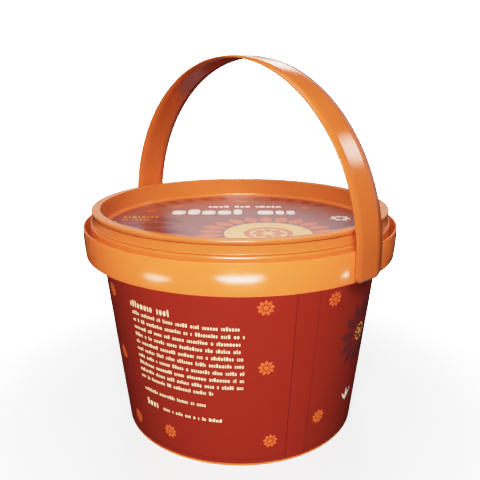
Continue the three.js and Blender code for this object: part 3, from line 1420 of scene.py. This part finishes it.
@dataclass
class LidLabel:
    """The round label in the lid's panel. Across and up are millimetres from the flat print's middle."""

    film: PrintedFilm
    inks: dict[str, bpy.types.Material]
    datum_degrees: float = 46.5  # the direction, seen from above, of the print's across

    def place(self, across: float, up: float, out: float) -> Point3:
        """Gives the point on the lid at a place on the flat print."""
        return *rotated(across, up, math.radians(self.datum_degrees)), box_mm("lid_label")[1].z + out

    def film_disc(self) -> MeshBuilder:
        """Gives the label itself, its top face in three rings.

        Returns:
            Its mesh.
        """
        low, high = box_mm("lid_label")
        corners = [
            Corner(0, low.z),
            Corner(high.x, low.z),
            Corner(high.x, high.z, 0.08),
            Corner(high.x * 0.66, high.z),
            Corner(high.x * 0.33, high.z),
            Corner(0, high.z),
        ]
        return turned_mesh(rounded_outline(corners))

    def sunburst(self, prints: dict[str, FlatPrint]) -> None:
        """Draws the large sunburst in front of the middle.

        Args:
            prints: The label's prints by their keys.
        """
        x, y = 12.0, -22.0
        prints["motif"].rosette(x, y, 31.0, petals=22, inner=0.62)
        prints["tan"].disc(x, y, 18.8, sides=72)
        prints["motif_top"].ring(x, y, 10.5, 2.4)
        prints["motif_top"].rosette(x, y, 7.4, petals=8, inner=0.3)

    def sprays(self, ink: FlatPrint) -> None:
        """Draws the dark leaves either side of the sunburst and the dark edge behind it.

        Args:
            ink: The print that they are drawn in.
        """
        for x, y, turn in ((-24, -20, 165), (-29, -7, 180), (-26, -2, 148), (-24, -29, 200)):
            ink.leaf(x, y, 22.0, 7.5, turn)
        for x, y, turn in ((46, -8, 30), (47, -18, 5)):
            ink.leaf(x, y, 11.0, 7.5, turn)
        for degrees in range(40, 150, 10):
            ink.leaf(*on_circle((0, 0), 50, math.radians(degrees)), 8.5, 5.0, degrees)

    def build(self) -> list[bpy.types.Object]:
        """Makes the label and its print.

        Returns:
            The pieces.
        """
        disc = film_piece("lid_film", self.film_disc(), self.film, "lid_label")
        levels = {"maroon": 0, "motif": 0, "tan": 1, "white": 1, "gold": 1, "motif_top": 2}
        prints = label_prints("lid", self.inks, levels)
        self.sprays(prints["maroon"])
        self.sunburst(prints)
        DummyText(seed=8, height=8.0, bold=True).row(prints["white"], -33.0, 18.0, 66.0)
        DummyText(seed=9, height=3.0, bold=True).row(prints["white"], -16.0, 31.0, 40.0)
        DummyText(seed=12, height=3.0).row(prints["gold"], -55.0, 8.0, 20.0)
        DummyText(seed=13, height=2.2).row(prints["gold"], -55.0, 3.0, 14.0)
        prints["white"].rosette(47.0, 6.0, 5.0, petals=7)
        for x, y in ((-32, 32), (2, 45), (33, 29), (-44, 22)):
            prints["motif"].disc(x, y, 2.4)
        return [disc, *laid_prints(prints.values(), self.place)]


# ---- studio ----


@dataclass(frozen=True)
class Softbox:
    """A flat soft light aimed at the tub, placed by its direction from the middle of the collar."""

    name: str
    azimuth: float  # degrees to the right of the camera's side
    elevation: float
    distance: float  # metres
    width: float
    height: float
    radiance: float  # of its face, in the units of the studio's brightest
    diffuse: bool = True
    gloss: bool = True
    oval: bool = False
    feather: int = 0  # larger, fainter sheets behind it, which soften its edge
    only: tuple[str, ...] = ()  # the pieces that it lights; its reflection in others would be stray
    spares: tuple[str, ...] = ()  # the pieces that a flag keeps it off
    passes: tuple[str, ...] = ()  # the pieces that it throws no shadow of, as a bounce card would lift it


@dataclass
class Studio:
    """Pale floor, soft lights and the camera."""

    azimuth: float = 46.54  # of the camera, in degrees from -Y towards +X
    elevation: float = 15.43
    distance: float = 273.7  # millimetres, as the heights and the floor
    target_height: float = 82.2
    focal_mm: float = 44.27
    sensor_mm: float = 36.0
    aim_height: float = 87.0  # what the lights face
    sheet_growth: float = 0.4  # how much larger each further sheet of a feathered light is
    sheet_gap: float = 0.002
    room_light: float = 0.015
    wall_light: float = 9.0
    floor_radius: float = 700.0
    brightest: float = 5.0  # scene light that shows as white
    shoulder: tuple[Point2, ...] = ((0.2, 0.2), (0.45, 0.44), (0.9, 0.7), (1.6, 0.86), (3.0, 0.95))

    def lights(self) -> list[Softbox]:
        """Lists the studio's lights: wide ones that light the tub, and small ones that show in its gloss.

        Returns:
            The lights.
        """
        tub, lid, strap = "tub_shell", "lid_shell", "handle_strap"
        low = Softbox("low", 0, 0, 0.217, 0, 0.004, 0, diffuse=False, oval=True, feather=2, only=(tub,))
        return [
            Softbox("key", -2, 33, 0.7, 0.38, 0.115, 65.0, gloss=False, passes=(tub,)),
            Softbox("glint", -2, 33, 0.7, 0.38, 0.115, 65.0, diffuse=False, only=(tub, lid, strap)),
            Softbox("rim_glint", 0, 31, 0.7, 0.24, 0.07, 120.0, diffuse=False, oval=True, only=(lid, tub)),
            Softbox("front_fill", -3, -3, 0.45, 0.24, 0.09, 24.0, gloss=False, spares=(lid, strap)),
            Softbox("left", -62, 28, 1.1, 0.3, 0.16, 0.4),
            Softbox("right", 86, 25, 1.1, 0.3, 0.16, 0.3),
            Softbox("top", 0, 85, 1.1, 0.8, 0.8, 1.8),
            Softbox("behind", 182, 12, 1.1, 0.5, 0.35, 38.0, gloss=False),
            Softbox("back_horizon", 180, 13, 1.3, 2.6, 0.5, 0.6, diffuse=False),
            Softbox("horizon_right", 120, 8, 1.3, 0.7, 0.5, 0.3, diffuse=False),
            Softbox("horizon_left", -120, 8, 1.3, 0.7, 0.5, 0.2, diffuse=False),
            Softbox("band_right", 105, 29.3, 0.8, 0.11, 0.10, 9.5, diffuse=False, oval=True, feather=3),
            Softbox("band_back", 178, 32, 0.8, 0.34, 0.11, 5.5, diffuse=False, oval=True, feather=2),
            Softbox("floor_sheen", 0, -90, 0.085, 0.5, 0.5, 0.24, diffuse=False, oval=True, only=(strap,)),
            replace(low, name="low_front", elevation=-16.5, width=0.062, height=0.006, radiance=66.0),
            replace(low, name="low_left", azimuth=-50, elevation=-18.8, width=0.045, radiance=34.0),
            replace(low, name="low_right", azimuth=67, elevation=-19.2, width=0.016, radiance=26.0),
        ]

    def direction(self, azimuth: float, elevation: float) -> Vector:
        """Gives the direction of a place round the tub.

        Args:
            azimuth: Degrees to the right of the camera's side.
            elevation: Degrees above the level.

        Returns:
            The unit vector.
        """
        turn = math.radians(self.azimuth + azimuth)
        lift = math.radians(elevation)
        return Vector((math.sin(turn) * math.cos(lift), -math.cos(turn) * math.cos(lift), math.sin(lift)))

    def add_light(self, box: Softbox) -> None:
        """Adds one light, facing the tub.

        Args:
            box: The light's place, size and strength.
        """
        aim = Vector((0, 0, self.aim_height * MM))
        towards = self.direction(box.azimuth, box.elevation)
        sheets = box.feather + 1
        for sheet in range(sheets):
            growth = 1 + self.sheet_growth * sheet
            lamp = bpy.data.lights.new(f"{box.name}_{sheet}", "AREA")
            lamp.shape = "ELLIPSE" if box.oval else "RECTANGLE"
            lamp.size = box.width * growth
            lamp.size_y = box.height * growth
            area = lamp.size * lamp.size_y * (math.pi / 4 if box.oval else 1)
            lamp.energy = box.radiance / sheets * math.pi * area
            lit = bpy.data.objects.new(lamp.name, lamp)
            lit.location = aim + towards * (box.distance + self.sheet_gap * sheet)
            lit.rotation_euler = towards.to_track_quat("Z", "Y").to_euler()
            lit.visible_camera = False
            lit.visible_diffuse = box.diffuse
            lit.visible_glossy = box.gloss
            links = lit.light_linking
            if box.only:
                links.receiver_collection = self.linked(f"{lamp.name}_lights", box.only, "INCLUDE")
            if box.spares:
                links.receiver_collection = self.linked(f"{lamp.name}_spares", box.spares, "EXCLUDE")
            if box.passes:
                links.blocker_collection = self.linked(f"{lamp.name}_passes", box.passes, "EXCLUDE")
            bpy.context.scene.collection.objects.link(lit)

    @staticmethod
    def linked(name: str, pieces: Sequence[str], state: str) -> bpy.types.Collection:
        """Makes the collection that ties a light to some pieces.

        Args:
            name: The collection's name.
            pieces: The pieces' names.
            state: INCLUDE for these pieces alone, or EXCLUDE for all but these.

        Returns:
            The collection.
        """
        group = bpy.data.collections.new(name)
        for piece in pieces:
            group.objects.link(bpy.data.objects[piece])
        for member in group.collection_objects:
            member.light_linking.link_state = state
        return group

    def add_floor(self) -> None:
        """Adds the floor, which isn't part of the object."""
        builder = MeshBuilder()
        edge = [on_circle((0, 0), self.floor_radius, turn) for turn in full_turn(64)]
        builder.faces.append(tuple(builder.add(x, y, 0) for x, y in edge))
        board = builder.piece("floor", StudioFloor().material())
        board.visible_glossy = False
        board.visible_diffuse = False

    def add_world(self) -> None:
        """Sets the surroundings: a faint even light on the tub, and the white wall that the eye sees."""
        world = bpy.data.worlds.new("studio")
        world.use_nodes = True
        tree = world.node_tree
        tree.nodes.clear()
        glow, wall = (
            add_node(tree, "ShaderNodeBackground", inputs={"Color": colour, "Strength": strength})
            for colour, strength in (
                ((0.98, 0.98, 1.0, 1.0), self.room_light),
                ((1.0, 1.0, 1.0, 1.0), self.wall_light),
            )
        )
        seen = add_node(tree, "ShaderNodeLightPath").outputs["Is Camera Ray"]
        both = add_node(
            tree,
            "ShaderNodeMixShader",
            inputs={0: seen, 1: glow.outputs["Background"], 2: wall.outputs["Background"]},
        )
        add_node(tree, "ShaderNodeOutputWorld", inputs={"Surface": both.outputs["Shader"]})
        bpy.context.scene.world = world

    def add_camera(self) -> None:
        """Adds the camera, looking at the tub's axis."""
        lens = bpy.data.cameras.new("camera")
        lens.sensor_width = self.sensor_mm
        lens.lens = self.focal_mm
        lens.clip_start = 0.01
        eye = bpy.data.objects.new("camera", lens)
        towards = self.direction(0, self.elevation)
        eye.location = Vector((0, 0, self.target_height * MM)) + towards * (self.distance * MM)
        eye.rotation_euler = towards.to_track_quat("Z", "Y").to_euler()
        bpy.context.scene.collection.objects.link(eye)
        bpy.context.scene.camera = eye

    def build(self) -> None:
        """Sets up the studio."""
        self.add_floor()
        self.add_world()
        for box in self.lights():
            self.add_light(box)
        self.add_camera()
        self.develop()

    def develop(self) -> None:
        """Sets how scene light becomes the picture: even up to the middle tones, then a soft shoulder."""
        look = bpy.context.scene.view_settings
        look.view_transform = "Standard"
        look.look = "None"
        look.use_curve_mapping = True
        tone = look.curve_mapping
        tone.white_level = (self.brightest,) * 3
        curve = tone.curves[3]
        for light, shown in self.shoulder:
            curve.points.new(light / self.brightest, shown)
        tone.update()


def label_inks(prefix: str, film: PrintedFilm) -> dict[str, bpy.types.Material]:
    """Makes the printing inks of one label.

    Args:
        prefix: The label's short name.
        film: The label's film, whose gloss the inks share.

    Returns:
        Each ink's material by its short name.
    """
    pairs = {
        "cream": (Swatch.CREAM, Swatch.CREAM),
        "motif": (Swatch.MOTIF, Swatch.BRICK),
        "maroon": (Swatch.MAROON, Swatch.LID_MAROON),
        "gold": (Swatch.GOLD, Swatch.MOTIF),
        "tan": (Swatch.TAN, Swatch.TAN),
        "white": (Swatch.WHITE, Swatch.CREAM),
        "seam": (Swatch.SEAM, Swatch.SEAM),
    }
    return {
        key: replace(film, name=f"{prefix}_{key}_ink", colour=main, shade=shade).material()
        for key, (main, shade) in pairs.items()
    }


def report(pieces: Iterable[bpy.types.Object]) -> None:
    """Logs the size of each piece's mesh."""
    for piece in pieces:
        log.info("%s: %d vertices, %d faces", piece.name, len(piece.data.vertices), len(piece.data.polygons))


def main() -> None:
    logging.basicConfig(level=logging.INFO, format="%(name)s %(message)s")
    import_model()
    # The wrap's brick colour holds a little painted sheen.
    wrap_film = PrintedFilm("brick_wrap_film", Swatch.BRICK, Swatch.BRICK_DARK)
    lid_film = PrintedFilm(
        "gloss_lid_film", Swatch.LID_RED, Swatch.LID_MAROON, roughness=0.4, coat=0.7, coat_roughness=0.22
    )
    tub_plastic = MouldedPolypropylene("tub_polypropylene", Swatch.TUB_ORANGE, Swatch.TUB_ORANGE_DEEP)
    lid_plastic = MouldedPolypropylene("lid_polypropylene", Swatch.LID_ORANGE, Swatch.LID_ORANGE_DEEP)
    strap_plastic = MouldedPolypropylene(
        "handle_polypropylene", Swatch.STRAP_ORANGE, Swatch.STRAP_ORANGE_DEEP
    )
    report(TubBody(tub_plastic).build())
    report(PushDownLid(lid_plastic).build())
    report(StrapHandle(strap_plastic).build())
    report(WrapLabel(wrap_film, label_inks("wrap", wrap_film)).build())
    report(LidLabel(lid_film, label_inks("lid", lid_film)).build())
    Studio().build()
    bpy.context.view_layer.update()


if __name__ == "__main__":
    main()
